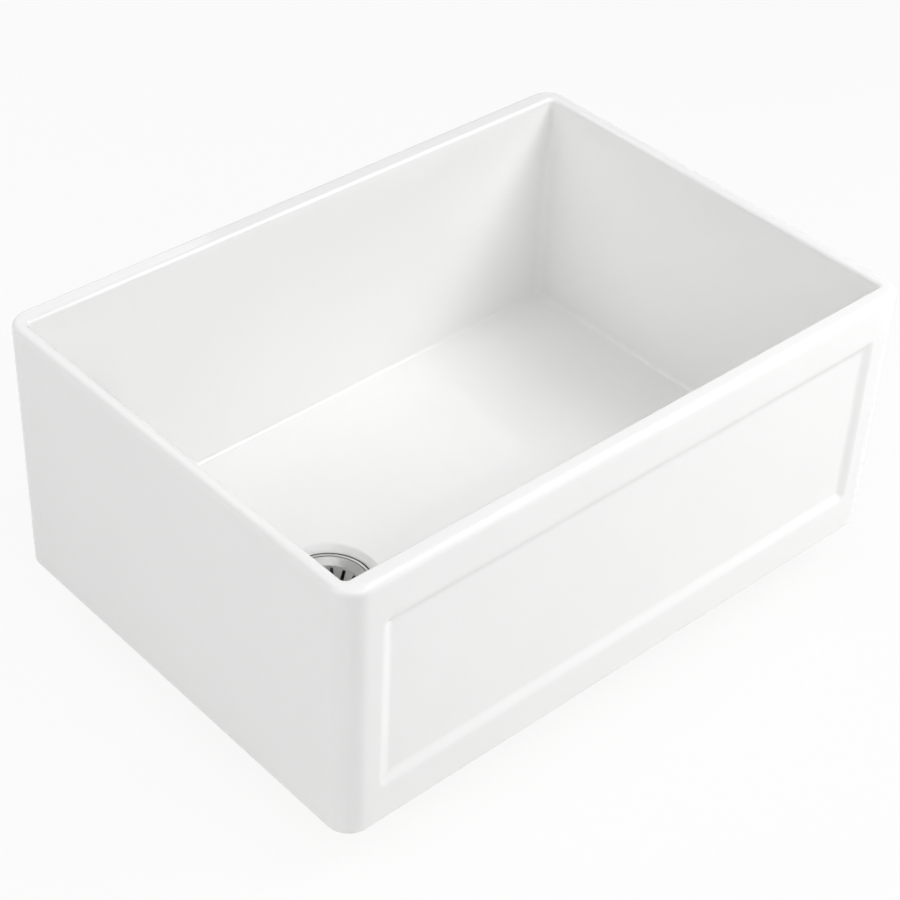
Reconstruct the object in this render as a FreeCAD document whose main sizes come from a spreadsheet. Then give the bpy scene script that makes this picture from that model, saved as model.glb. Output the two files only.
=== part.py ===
import FreeCAD, Part
import math
import os
import Sketcher

# Butler sink: a glazed fireclay trough with a framed panel on its front, and a basket strainer waste
# clamped in its floor. Millimetres, +Z up, panel facing -Y, origin at the centre of the underside.

SIZES = {
    # fireclay sink, outside
    "sink_length": 640,
    "sink_width": 456,
    "sink_height": 262,
    "corner_radius": 22,
    "base_round": 2,
    "rim_round_outer": 7,
    "rim_round_inner": 4,
    # fireclay sink, basin
    "wall_left": 11.5,
    "wall_right": 14.5,
    "wall_front": 18,
    "wall_back": 20,
    "wall_draft": 2,
    "basin_corner": 5,
    "floor_round": 4,
    "floor_thickness": 28,
    "floor_slope": 1.2,
    # sunk panel on the front
    "panel_side": 34,
    "panel_top": 39,
    "panel_bottom": 37,
    "panel_bevel": 13.5,
    "panel_depth": 3.5,
    # outlet in the sink's floor
    "waste_offset": 150,
    "lip_round": 4,
    "hole_gap": 1.4,
    "recess_depth": 5,
    "recess_gap": 3,
    "cut_margin": 10,
    # waste body
    "flange_dia": 82,
    "flange_drop": 5.1,
    "flange_sheet": 1.5,
    "flange_width": 8,
    "flange_slope": 20,
    "ledge_gap": 0.8,
    "body_wall": 2,
    "shoulder_wall": 2.5,
    "outlet_dia": 47.8,
    "tail_wall": 3.4,
    "tail_length": 26,
    # seals and clamp ring under the floor
    "seal_thickness": 1,
    "seal_lip": 1,
    "washer_width": 12,
    "gasket_thickness": 4,
    "friction_thickness": 1.5,
    "nut_wall": 7,
    "nut_height": 12,
    "nut_chamfer": 2,
    "fit_gap": 0.1,
    # strainer basket
    "rim_inset": 2.5,
    "basket_sheet": 0.8,
    "seat_gap": 0.3,
    "basket_gap": 0.6,
    "basket_taper": 14,
    "basket_depth": 28.9,
    "bend_round": 2,
    "slot_count": 16,
    "slot_width": 3.2,
    "slot_top_margin": 1.6,
    "slot_base_margin": 4,
    # guide bush in the basket's base
    "bush_wall": 0.9,
    "bush_collar_width": 0.9,
    "bush_collar_height": 1.2,
    "bush_flange_width": 2.5,
    "bush_flange_height": 1.5,
    "bush_boss_width": 1,
    "bush_height": 5,
    "grip_wire": 1.4,
    # sliding stopper
    "stopper_travel": 7,
    "rest_gap": 0.5,
    "spindle_dia": 6,
    "stud_step": 0.5,
    "plate_dia": 30,
    "plate_thickness": 1,
    "stopper_overlap": 4.5,
    "stopper_thickness": 3,
    "seal_washer_dia": 14,
    "seal_nut_flats": 8,
    "seal_nut_height": 4,
    "knob_dia": 17,
    "knob_neck": 10,
    "knob_height": 12,
    "knob_socket": 6,
    "knob_round": 1.5,
}

# The most of a wall or corner that the rounds on it take up, and the slack in telling where an edge lies.
RIM_SHARE_OUTER = 0.61
RIM_SHARE_INNER = 0.35
CORNER_SHARE = 0.9
TOLERANCE = 0.001

doc = FreeCAD.newDocument("butler_sink")
sheet = doc.addObject("Spreadsheet::Sheet", "sizes")
for row, (alias, number) in enumerate(SIZES.items(), start=1):
    sheet.set(f"A{row}", alias)
    sheet.set(f"B{row}", str(number))
    sheet.setAlias(f"B{row}", alias)
doc.recompute()

# Levels and radii that several pieces share. A cone of 45 degrees is known by its radius at height 0.
FLANGE_EDGE = "(sizes.floor_thickness - sizes.flange_drop)"
FLANGE_RADIUS = "(sizes.flange_dia / 2)"
FLANGE_TIP = f"({FLANGE_RADIUS} - sizes.flange_sheet / sqrt(2))"
FLANGE_CONE = f"({FLANGE_TIP} - {FLANGE_EDGE})"
FLANGE_BACK = f"({FLANGE_CONE} + sizes.flange_sheet * sqrt(2))"
SEAT_CONE = f"({FLANGE_BACK} + sizes.seal_thickness * sqrt(2))"
RIM_RADIUS = f"({FLANGE_TIP} - sizes.rim_inset)"
BOWL_RADIUS = f"({FLANGE_RADIUS} - sizes.flange_width)"
BOWL_OUTSIDE = f"({BOWL_RADIUS} + sizes.body_wall)"
HOLE_RADIUS = f"({BOWL_OUTSIDE} + sizes.hole_gap)"
OUTLET_RADIUS = "(sizes.outlet_dia / 2)"
OUTLET_BORE = f"({OUTLET_RADIUS} - sizes.tail_wall)"
RING_BORE = f"({BOWL_OUTSIDE} + sizes.fit_gap)"
WASHER_RADIUS = f"({RING_BORE} + sizes.washer_width)"
RECESS_RADIUS = f"({WASHER_RADIUS} + sizes.recess_gap)"
GASKET_BOTTOM = "(sizes.recess_depth - sizes.gasket_thickness)"
FRICTION_BOTTOM = f"({GASKET_BOTTOM} - sizes.friction_thickness)"
BASKET_FLOOR = f"({FLANGE_EDGE} - sizes.basket_depth)"
BASKET_BOTTOM = f"({BASKET_FLOOR} - sizes.basket_sheet)"
BUSH_BOTTOM = f"({BASKET_BOTTOM} - sizes.bush_collar_height)"
BUSH_TOP = f"({BASKET_FLOOR} + sizes.bush_height)"
PLATE_TOP = f"({BUSH_BOTTOM} - sizes.rest_gap)"
STOPPER_TOP = f"({PLATE_TOP} - sizes.plate_thickness)"
STOPPER_BOTTOM = f"({STOPPER_TOP} - sizes.stopper_thickness)"
WASHER_BOTTOM = f"({STOPPER_BOTTOM} - sizes.plate_thickness)"
SEAL_NUT_BOTTOM = f"({WASHER_BOTTOM} - sizes.seal_nut_height)"
KNOB_BOTTOM = f"({BUSH_TOP} + sizes.stopper_travel + sizes.rest_gap)"
SHOULDER = f"({STOPPER_BOTTOM} - sizes.stopper_travel - sizes.seat_gap)"
SPINDLE_RADIUS = "(sizes.spindle_dia / 2)"
STUD_RADIUS = f"({SPINDLE_RADIUS} - sizes.stud_step)"


def value(expression):
    """The number that an expression on the sheet gives."""
    return float(sheet.evalExpression(expression))


def new_body(label):
    """An empty body named after its piece."""
    body = doc.addObject("PartDesign::Body", label)
    body.Label = label
    return body


def origin_feature(body, role):
    """One of a body's own origin planes or axes."""
    return [item for item in body.Origin.OriginFeatures if item.Role == role][0]


def new_sketch(body, name, plane, shift="0", lift="0"):
    """A sketch on an origin plane, shifted along the plane's first axis and lifted along its normal."""
    sketch = body.newObject("Sketcher::SketchObject", name)
    sketch.AttachmentSupport = [(origin_feature(body, plane), "")]
    sketch.MapMode = "FlatFace"
    sketch.setExpression("AttachmentOffset.Base.x", shift)
    sketch.setExpression("AttachmentOffset.Base.z", lift)
    return sketch


def set_size(sketch, constraint, expression):
    """Adds a dimension and ties it to the sheet."""
    index = sketch.addConstraint(constraint)
    sketch.setExpression(f"Constraints[{index}]", expression)


def add_outline(sketch, points):
    """A closed run of straight lines through points that are pairs of expressions."""
    corners = [FreeCAD.Vector(value(across), value(along), 0) for across, along in points]
    count = len(corners)
    lines = [sketch.addGeometry(Part.LineSegment(corners[i], corners[(i + 1) % count])) for i in range(count)]
    for i in range(count):
        sketch.addConstraint(Sketcher.Constraint("Coincident", lines[i], 2, lines[(i + 1) % count], 1))
    for line, corner, (across, along) in zip(lines, corners, points):
        set_size(sketch, Sketcher.Constraint("DistanceX", -1, 1, line, 1, corner.x), across)
        set_size(sketch, Sketcher.Constraint("DistanceY", -1, 1, line, 1, corner.y), along)


def add_circle(sketch, radius):
    """A circle about the sketch's own origin."""
    circle = sketch.addGeometry(Part.Circle(FreeCAD.Vector(0, 0, 0), FreeCAD.Vector(0, 0, 1), value(radius)))
    sketch.addConstraint(Sketcher.Constraint("Coincident", circle, 3, -1, 1))
    set_size(sketch, Sketcher.Constraint("Radius", circle, value(radius)), radius)


def add_slot(sketch, radius, low, high):
    """An upright slot about the sketch's own axis, closed by a half circle at each end."""
    ends = []
    for level, first in ((f"{low} + {radius}", math.pi), (f"{high} - {radius}", 0)):
        circle = Part.Circle(FreeCAD.Vector(0, value(level), 0), FreeCAD.Vector(0, 0, 1), value(radius))
        end = sketch.addGeometry(Part.ArcOfCircle(circle, first, first + math.pi))
        sketch.addConstraint(Sketcher.Constraint("PointOnObject", end, 3, -2))
        set_size(sketch, Sketcher.Constraint("DistanceY", -1, 1, end, 3, value(level)), level)
        set_size(sketch, Sketcher.Constraint("Radius", end, value(radius)), radius)
        ends.append(end)
    for this, other in (ends, ends[::-1]):
        side = sketch.addGeometry(Part.LineSegment(sketch.getPoint(this, 2), sketch.getPoint(other, 1)))
        sketch.addConstraint(Sketcher.Constraint("Tangent", this, 2, side, 1))
        sketch.addConstraint(Sketcher.Constraint("Tangent", side, 2, other, 1))


def box_points(left, right, low, high):
    """The corners of a rectangle, or the section of a flat ring."""
    return [(left, low), (right, low), (right, high), (left, high)]


def hexagon_points(flats):
    """The corners of a hexagon of a given size across its flats, two flats facing +Y and -Y."""
    angles = range(0, 360, 60)
    return [(f"{flats} / sqrt(3) * cos({a})", f"{flats} / sqrt(3) * sin({a})") for a in angles]


def extrude(body, name, kind, sketch, length):
    """A pad or a pocket of a sketch."""
    feature = body.newObject(kind, name)
    feature.Profile = sketch
    feature.setExpression("Length", length)
    return feature


def turn(body, name, kind, sketch):
    """A full turn of a sketch about its own upright axis."""
    feature = body.newObject(kind, name)
    feature.Profile = sketch
    feature.ReferenceAxis = (sketch, ["V_Axis"])
    feature.Angle = 360
    return feature


def set_wedge(wedge, levels, sections):
    """A block between two upright levels of its own, each with a rectangle of left, right, low and high."""
    (left, right, low, high), (left_end, right_end, low_end, high_end) = sections
    for prop, expression in (
        ("Ymin", levels[0]), ("Xmin", left), ("Xmax", right), ("Zmin", low), ("Zmax", high),
        ("Ymax", levels[1]), ("X2min", left_end), ("X2max", right_end),
        ("Z2min", low_end), ("Z2max", high_end),
    ):
        wedge.setExpression(prop, expression)


def dress(body, name, kind, prop, amount, test):
    """A fillet or chamfer on the edges of the body that pass a test."""
    doc.recompute()
    base = body.Tip
    names = [f"Edge{i}" for i, edge in enumerate(base.Shape.Edges, start=1) if test(edge)]
    feature = body.newObject(kind, name)
    feature.Base = (base, names)
    feature.setExpression(prop, amount)
    doc.recompute()


def stands_on_waste_axis(piece):
    """Places a piece that is drawn about its own upright axis on the axis of the outlet."""
    piece.setExpression("Placement.Base.x", "-sizes.waste_offset")


def turned_piece(label, points):
    """A piece turned about the waste axis from an outline of radii and heights."""
    body = new_body(label)
    sketch = new_sketch(body, f"{label}_outline", "XZ_Plane")
    add_outline(sketch, points)
    turn(body, f"{label}_turned", "PartDesign::Revolution", sketch)
    stands_on_waste_axis(body)
    return body


def is_level(edge, height):
    """True for an edge that lies at one height."""
    level = value(height)
    return abs(edge.BoundBox.ZMin - level) < TOLERANCE and abs(edge.BoundBox.ZMax - level) < TOLERANCE


def is_circle(edge, radius, height):
    """True for a circle of one radius at one height."""
    if edge.Curve.TypeId != "Part::GeomCircle":
        return False
    return is_level(edge, height) and abs(edge.Curve.Radius - value(radius)) < TOLERANCE


# Core of the mould that leaves the basin: four leaning walls with round corners, and a floor that falls
# from every side to the outlet.
HALF_LENGTH = "sizes.sink_length / 2"
HALF_WIDTH = "sizes.sink_width / 2"
CORE_TOP = "(sizes.sink_height + sizes.cut_margin)"
CORE_BOTTOM = "(sizes.floor_thickness - sizes.cut_margin)"


def lean(level):
    """How far each wall has come in from the rim at a height."""
    return f"(sizes.sink_height - {level}) * tan(sizes.wall_draft)"


core = new_body("basin_core")
core_block = core.newObject("PartDesign::AdditiveWedge", "core_block")
quarter_turn = FreeCAD.Rotation(FreeCAD.Vector(1, 0, 0), 90)
core_block.Placement = FreeCAD.Placement(FreeCAD.Vector(0, 0, 0), quarter_turn)
set_wedge(core_block, (CORE_BOTTOM, CORE_TOP), [(
    f"-({HALF_LENGTH} - sizes.wall_left - {lean(level)})",
    f"{HALF_LENGTH} - sizes.wall_right - {lean(level)}",
    f"-({HALF_WIDTH} - sizes.wall_back - {lean(level)})",
    f"{HALF_WIDTH} - sizes.wall_front - {lean(level)}",
) for level in (CORE_BOTTOM, CORE_TOP)])
dress(core, "core_corners", "PartDesign::Fillet", "Radius", "sizes.basin_corner",
      lambda edge: edge.BoundBox.ZLength > value("sizes.sink_height - sizes.floor_thickness"))
floor_cut = new_sketch(core, "floor_cut", "XZ_Plane", shift="-sizes.waste_offset")
add_outline(floor_cut, [
    ("0", f"{CORE_BOTTOM} - sizes.cut_margin"),
    ("sizes.sink_length", f"{CORE_BOTTOM} - sizes.cut_margin"),
    ("sizes.sink_length",
     f"sizes.floor_thickness + (sizes.sink_length - {BOWL_RADIUS}) * tan(sizes.floor_slope)"),
    (BOWL_RADIUS, "sizes.floor_thickness"),
    ("0", "sizes.floor_thickness"),
])
turn(core, "core_floor", "PartDesign::Groove", floor_cut)
dress(core, "core_floor_round", "PartDesign::Fillet", "Radius",
      f"min(sizes.floor_round; {CORNER_SHARE} * sizes.basin_corner)",
      lambda edge: edge.BoundBox.ZMax < value("sizes.sink_height / 2")
      and not is_level(edge, "sizes.floor_thickness")
      and edge.Curve.TypeId != "Part::GeomLine")

# Fireclay sink: block with round upright corners, sunk panel on the front, basin, outlet hole with a
# flared seat above and a recess below for the clamp ring, and every glazed edge rounded.
sink = new_body("sink_body")
plan = new_sketch(sink, "sink_plan", "XY_Plane")
add_outline(plan, box_points(f"-{HALF_LENGTH}", HALF_LENGTH, f"-{HALF_WIDTH}", HALF_WIDTH))
extrude(sink, "sink_block", "PartDesign::Pad", plan, "sizes.sink_height")
dress(sink, "sink_corners", "PartDesign::Fillet", "Radius", "sizes.corner_radius",
      lambda edge: edge.BoundBox.ZLength > value("sizes.sink_height / 2"))
panel = sink.newObject("PartDesign::SubtractiveWedge", "sink_panel")
set_wedge(panel, (f"-{HALF_WIDTH}", f"-({HALF_WIDTH} - sizes.panel_depth)"), [(
    f"-({HALF_LENGTH} - sizes.panel_side - {bevel})",
    f"{HALF_LENGTH} - sizes.panel_side - {bevel}",
    f"sizes.panel_bottom + {bevel}",
    f"sizes.sink_height - sizes.panel_top - {bevel}",
) for bevel in ("0", "sizes.panel_bevel")])
doc.recompute()
basin = sink.newObject("PartDesign::Boolean", "sink_basin")
basin.Type = "Cut"
basin.addObjects([core])
doc.recompute()
hole = new_sketch(sink, "outlet_outline", "XZ_Plane", shift="-sizes.waste_offset")
FLOOR_CLEAR = "(sizes.floor_thickness + sizes.cut_margin)"
add_outline(hole, [
    ("0", "-sizes.cut_margin"),
    (RECESS_RADIUS, "-sizes.cut_margin"),
    (RECESS_RADIUS, "sizes.recess_depth"),
    (HOLE_RADIUS, "sizes.recess_depth"),
    (HOLE_RADIUS, f"{HOLE_RADIUS} - {SEAT_CONE}"),
    (f"{FLOOR_CLEAR} + {SEAT_CONE}", FLOOR_CLEAR),
    ("0", FLOOR_CLEAR),
])
turn(sink, "sink_outlet", "PartDesign::Groove", hole)
LIP_RADIUS = (f"(sizes.floor_thickness + {SEAT_CONE} - {BOWL_RADIUS} * tan(sizes.floor_slope))"
              " / (1 - tan(sizes.floor_slope))")
dress(sink, "sink_lip", "PartDesign::Fillet", "Radius", "sizes.lip_round",
      lambda edge: is_circle(edge, LIP_RADIUS, f"{LIP_RADIUS} - {SEAT_CONE}"))


def is_outside(edge):
    """True for an edge that reaches one of the sink's four outer sides."""
    box = edge.BoundBox
    past_ends = max(-box.XMin, box.XMax) - value(HALF_LENGTH)
    past_sides = max(-box.YMin, box.YMax) - value(HALF_WIDTH)
    return max(past_ends, past_sides) > -TOLERANCE


dress(sink, "sink_base_edge", "PartDesign::Fillet", "Radius", "sizes.base_round",
      lambda edge: is_level(edge, "0") and is_outside(edge))
THINNEST_WALL = "min(min(sizes.wall_left; sizes.wall_right); min(sizes.wall_front; sizes.wall_back))"
dress(sink, "sink_rim_inside", "PartDesign::Fillet", "Radius",
      f"min(sizes.rim_round_inner; {RIM_SHARE_INNER} * {THINNEST_WALL})",
      lambda edge: is_level(edge, "sizes.sink_height") and not is_outside(edge))
dress(sink, "sink_rim_outside", "PartDesign::Fillet", "Radius",
      f"min(sizes.rim_round_outer; {RIM_SHARE_OUTER} * {THINNEST_WALL})",
      lambda edge: is_level(edge, "sizes.sink_height") and is_outside(edge))

# Waste body: flange with a ledge round the basket's seat, straight threaded bowl, shoulder that the stopper
# closes on, outlet tail.
LEDGE_RADIUS = f"({RIM_RADIUS} + sizes.ledge_gap)"
LEDGE_TOP = f"({FLANGE_EDGE} - ({FLANGE_TIP} - {LEDGE_RADIUS}) * tan(sizes.flange_slope))"
BOWL_BOTTOM = f"({SHOULDER} - sizes.shoulder_wall)"
waste = turned_piece("waste_body", [
    (FLANGE_TIP, FLANGE_EDGE),
    (LEDGE_RADIUS, LEDGE_TOP),
    (LEDGE_RADIUS, f"{LEDGE_RADIUS} - {FLANGE_CONE}"),
    (BOWL_RADIUS, f"{BOWL_RADIUS} - {FLANGE_CONE}"),
    (BOWL_RADIUS, SHOULDER),
    (OUTLET_BORE, SHOULDER),
    (OUTLET_BORE, f"{BOWL_BOTTOM} - sizes.tail_length"),
    (OUTLET_RADIUS, f"{BOWL_BOTTOM} - sizes.tail_length"),
    (OUTLET_RADIUS, BOWL_BOTTOM),
    (BOWL_OUTSIDE, BOWL_BOTTOM),
    (BOWL_OUTSIDE, f"{BOWL_OUTSIDE} - {FLANGE_BACK}"),
    (FLANGE_RADIUS, f"{FLANGE_RADIUS} - {FLANGE_BACK}"),
])

# Conical seal between the flange and the flared seat, with a lip that shows round the flange.
SEAL_RADIUS = f"({FLANGE_RADIUS} + sizes.seal_lip)"
flange_seal = turned_piece("flange_seal", [
    (HOLE_RADIUS, f"{HOLE_RADIUS} - {FLANGE_BACK}"),
    (HOLE_RADIUS, f"{HOLE_RADIUS} - {SEAT_CONE}"),
    (SEAL_RADIUS, f"{SEAL_RADIUS} - {SEAT_CONE}"),
    (SEAL_RADIUS, f"{SEAL_RADIUS} - {FLANGE_BACK}"),
])

# Rubber gasket, slip washer and large nut that pull the flange down from below.
under_gasket = turned_piece("under_gasket", box_points(
    RING_BORE, WASHER_RADIUS, GASKET_BOTTOM, "sizes.recess_depth"))
friction_washer = turned_piece("friction_washer", box_points(
    RING_BORE, WASHER_RADIUS, FRICTION_BOTTOM, GASKET_BOTTOM))
lock_nut = new_body("lock_nut")
NUT_BOTTOM = f"({FRICTION_BOTTOM} - sizes.nut_height)"
nut_plan = new_sketch(lock_nut, "lock_nut_plan", "XY_Plane", lift=NUT_BOTTOM)
add_outline(nut_plan, hexagon_points(f"2 * ({RING_BORE} + sizes.nut_wall)"))
add_circle(nut_plan, RING_BORE)
extrude(lock_nut, "lock_nut_block", "PartDesign::Pad", nut_plan, "sizes.nut_height")
dress(lock_nut, "lock_nut_chamfer", "PartDesign::Chamfer", "Size", "sizes.nut_chamfer",
      lambda edge: is_level(edge, NUT_BOTTOM) and not edge.Closed)
stands_on_waste_axis(lock_nut)

# Plastic bush snapped into the basket's base, with a rubber ring inside that grips the spindle.
BUSH_BORE = f"({SPINDLE_RADIUS} + sizes.fit_gap)"
GRIP_LEVEL = f"({BASKET_FLOOR} + (sizes.bush_height + sizes.bush_flange_height) / 2)"
GROOVE_HALF = "(sizes.grip_wire / 2 + sizes.fit_gap)"
GROOVE_RADIUS = f"({BUSH_BORE} + sizes.grip_wire + sizes.fit_gap)"
NECK_RADIUS = f"({GROOVE_RADIUS} + sizes.bush_wall)"
COLLAR_RADIUS = f"({NECK_RADIUS} + sizes.bush_collar_width)"
BUSH_FLANGE_RADIUS = f"({NECK_RADIUS} + sizes.bush_flange_width)"
BUSH_FLANGE_TOP = f"({BASKET_FLOOR} + sizes.bush_flange_height)"
BOSS_RADIUS = f"({NECK_RADIUS} + sizes.bush_boss_width)"
bush = turned_piece("spindle_bush", [
    (BUSH_BORE, BUSH_BOTTOM),
    (COLLAR_RADIUS, BUSH_BOTTOM),
    (COLLAR_RADIUS, BASKET_BOTTOM),
    (NECK_RADIUS, BASKET_BOTTOM),
    (NECK_RADIUS, BASKET_FLOOR),
    (BUSH_FLANGE_RADIUS, BASKET_FLOOR),
    (BUSH_FLANGE_RADIUS, BUSH_FLANGE_TOP),
    (BOSS_RADIUS, BUSH_FLANGE_TOP),
    (BOSS_RADIUS, BUSH_TOP),
    (BUSH_BORE, BUSH_TOP),
    (BUSH_BORE, f"{GRIP_LEVEL} + {GROOVE_HALF}"),
    (GROOVE_RADIUS, f"{GRIP_LEVEL} + {GROOVE_HALF}"),
    (GROOVE_RADIUS, f"{GRIP_LEVEL} - {GROOVE_HALF}"),
    (BUSH_BORE, f"{GRIP_LEVEL} - {GROOVE_HALF}"),
])
grip_ring = doc.addObject("Part::Torus", "grip_ring")
grip_ring.Label = "grip_ring"
grip_ring.setExpression("Radius1", f"{BUSH_BORE} + sizes.grip_wire / 2")
grip_ring.setExpression("Radius2", "sizes.grip_wire / 2")
grip_ring.setExpression("Placement.Base.z", GRIP_LEVEL)
stands_on_waste_axis(grip_ring)

# Strainer basket: pressed sheet with a conical rim, a slotted wall and a flat base holed for the bush. The
# rim lies along the flange, and each bend has one radius on its hollow side and a sheet more on the other.
BASKET_BACK = f"({FLANGE_CONE} - sizes.seat_gap * sqrt(2))"
BASKET_FACE = f"({BASKET_BACK} - sizes.basket_sheet * sqrt(2))"
RIM_STEP = "sizes.basket_sheet / sqrt(2)"
BEND_BACK = f"({BOWL_RADIUS} - sizes.basket_gap)"
BEND_FACE = f"({BEND_BACK} - sizes.basket_sheet)"
BASE_FACE = f"({BEND_FACE} - sizes.basket_taper)"
BASE_BACK = f"({BASE_FACE} + sizes.basket_sheet)"
BUSH_HOLE = f"{NECK_RADIUS} + sizes.fit_gap"
basket = turned_piece("basket_shell", [
    (BUSH_HOLE, BASKET_BOTTOM),
    (BASE_BACK, BASKET_BOTTOM),
    (BEND_BACK, f"{BEND_BACK} - {BASKET_BACK}"),
    (RIM_RADIUS, f"{RIM_RADIUS} - {BASKET_BACK}"),
    (f"{RIM_RADIUS} - {RIM_STEP}", f"{RIM_RADIUS} - {BASKET_BACK} + {RIM_STEP}"),
    (BEND_FACE, f"{BEND_FACE} - {BASKET_FACE}"),
    (BASE_FACE, BASKET_FLOOR),
    (BUSH_HOLE, BASKET_FLOOR),
])
dress(basket, "basket_bends_hollow", "PartDesign::Fillet", "Radius", "sizes.bend_round",
      lambda edge: is_circle(edge, BASE_FACE, BASKET_FLOOR)
      or is_circle(edge, BEND_BACK, f"{BEND_BACK} - {BASKET_BACK}"))
dress(basket, "basket_bends_proud", "PartDesign::Fillet", "Radius", "sizes.bend_round + sizes.basket_sheet",
      lambda edge: is_circle(edge, BASE_BACK, BASKET_BOTTOM)
      or is_circle(edge, BEND_FACE, f"{BEND_FACE} - {BASKET_FACE}"))
slot = new_sketch(basket, "slot_outline", "YZ_Plane")
add_slot(slot, "sizes.slot_width / 2", f"{BASKET_FLOOR} + sizes.slot_base_margin",
         f"{BEND_FACE} - {BASKET_FACE} - sizes.slot_top_margin")
slot_cut = extrude(basket, "slot_cut", "PartDesign::Pocket", slot, RIM_RADIUS)
slots = basket.newObject("PartDesign::PolarPattern", "slots")
slots.Originals = [slot_cut]
slots.Axis = (origin_feature(basket, "Z_Axis"), [""])
slots.Angle = 360
slots.setExpression("Occurrences", "sizes.slot_count")
basket.Tip = slots

# Stopper: spindle with a shouldered stud, plate, rubber disc, washer and nut below, knob on top.
spindle = turned_piece("spindle", [
    ("0", SEAL_NUT_BOTTOM),
    (STUD_RADIUS, SEAL_NUT_BOTTOM),
    (STUD_RADIUS, PLATE_TOP),
    (SPINDLE_RADIUS, PLATE_TOP),
    (SPINDLE_RADIUS, f"{KNOB_BOTTOM} + sizes.knob_socket"),
    ("0", f"{KNOB_BOTTOM} + sizes.knob_socket"),
])
STUD_HOLE = f"{STUD_RADIUS} + sizes.fit_gap"
backing_plate = turned_piece("backing_plate", box_points(
    STUD_HOLE, "sizes.plate_dia / 2", STOPPER_TOP, PLATE_TOP))
stopper_seal = turned_piece("stopper_seal", box_points(
    STUD_HOLE, f"{OUTLET_BORE} + sizes.stopper_overlap", STOPPER_BOTTOM, STOPPER_TOP))
seal_washer = turned_piece("seal_washer", box_points(
    STUD_HOLE, "sizes.seal_washer_dia / 2", WASHER_BOTTOM, STOPPER_BOTTOM))
seal_nut = new_body("seal_nut")
seal_nut_plan = new_sketch(seal_nut, "seal_nut_plan", "XY_Plane", lift=SEAL_NUT_BOTTOM)
add_outline(seal_nut_plan, hexagon_points("sizes.seal_nut_flats"))
add_circle(seal_nut_plan, STUD_HOLE)
extrude(seal_nut, "seal_nut_block", "PartDesign::Pad", seal_nut_plan, "sizes.seal_nut_height")
stands_on_waste_axis(seal_nut)
SOCKET_RADIUS = f"{SPINDLE_RADIUS} + sizes.fit_gap"
SOCKET_TOP = f"{KNOB_BOTTOM} + sizes.knob_socket"
KNOB_RADIUS = "sizes.knob_dia / 2"
KNOB_MIDDLE = f"{KNOB_BOTTOM} + sizes.knob_height / 2"
KNOB_TOP = f"{KNOB_BOTTOM} + sizes.knob_height"
knob = turned_piece("knob", [
    (SOCKET_RADIUS, KNOB_BOTTOM),
    ("sizes.knob_neck / 2", KNOB_BOTTOM),
    (KNOB_RADIUS, KNOB_MIDDLE),
    (KNOB_RADIUS, KNOB_TOP),
    ("0", KNOB_TOP),
    ("0", SOCKET_TOP),
    (SOCKET_RADIUS, SOCKET_TOP),
])
dress(knob, "knob_edges", "PartDesign::Fillet", "Radius", "sizes.knob_round",
      lambda edge: is_circle(edge, KNOB_RADIUS, KNOB_MIDDLE) or is_circle(edge, KNOB_RADIUS, KNOB_TOP))

doc.recompute()
pieces = [
    sink, waste, flange_seal, under_gasket, friction_washer, lock_nut, basket, bush, grip_ring,
    spindle, backing_plate, stopper_seal, seal_washer, seal_nut, knob,
]
for item in doc.Objects:
    if "Invalid" in item.State or "Error" in item.State:
        raise RuntimeError(f"{item.Name} failed: {item.State}")
for piece in pieces:
    if piece.Shape.isNull() or not piece.Shape.isValid():
        raise RuntimeError(f"{piece.Label} has no valid shape")
    if len(piece.Shape.Solids) != 1:
        raise RuntimeError(f"{piece.Label} has {len(piece.Shape.Solids)} solids")

os.makedirs("parts", exist_ok=True)
for piece in pieces:
    piece.Shape.exportStep(f"parts/{piece.Label}.step")
    print(f"{piece.Label}: {piece.Shape.Volume / 1000:.2f} cm3, {len(piece.Shape.Faces)} faces")
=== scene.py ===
import bmesh
import bpy
import numpy as np
from mathutils import Matrix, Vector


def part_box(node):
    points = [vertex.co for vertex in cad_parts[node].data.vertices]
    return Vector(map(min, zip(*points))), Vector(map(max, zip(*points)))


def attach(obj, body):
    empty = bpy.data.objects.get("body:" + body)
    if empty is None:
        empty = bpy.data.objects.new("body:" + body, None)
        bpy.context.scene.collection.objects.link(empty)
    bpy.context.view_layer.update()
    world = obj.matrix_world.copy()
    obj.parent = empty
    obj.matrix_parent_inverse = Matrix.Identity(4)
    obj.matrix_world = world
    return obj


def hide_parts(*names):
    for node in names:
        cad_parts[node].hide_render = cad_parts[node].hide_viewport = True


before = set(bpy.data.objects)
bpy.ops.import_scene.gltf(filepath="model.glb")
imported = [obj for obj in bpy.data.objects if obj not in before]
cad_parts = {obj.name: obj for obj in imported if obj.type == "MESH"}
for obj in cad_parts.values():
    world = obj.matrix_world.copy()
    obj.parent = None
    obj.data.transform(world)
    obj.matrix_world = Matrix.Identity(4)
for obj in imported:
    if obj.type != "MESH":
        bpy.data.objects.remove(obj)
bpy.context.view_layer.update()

# Fireclay trough: one heavy piece cast in a plaster mould, its panel with it, then dipped in white glaze
# and fired. Every edge is round where the mould left it so, and only the face it stands on stays bare.
sink_low, sink_high = np.array(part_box("sink_body"))
waste_low, waste_high = np.array(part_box("waste_body"))
WASTE_AXIS = (waste_low + waste_high)[:2] / 2
RIM_LEVEL = sink_high[2]
CORNER_RADIUS = 0.022
BASE_ROUND = 0.002
RIM_ROUND_OUTER = 0.007
RIM_ROUND_INNER = 0.004
WALL_LEFT, WALL_RIGHT, WALL_FRONT, WALL_BACK = 0.0115, 0.0145, 0.018, 0.020
WALL_LEAN = np.tan(np.radians(2))
BASIN_CORNER = 0.005
FLOOR_ROUND = 0.004
FLOOR_THICKNESS = 0.028
FLOOR_FALL = np.tan(np.radians(1.2))
PANEL_SIDE, PANEL_TOP, PANEL_BOTTOM = 0.034, 0.039, 0.037
PANEL_BEVEL = 0.0135
PANEL_DEPTH = 0.0035
PANEL_CORNER = 0.009
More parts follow.
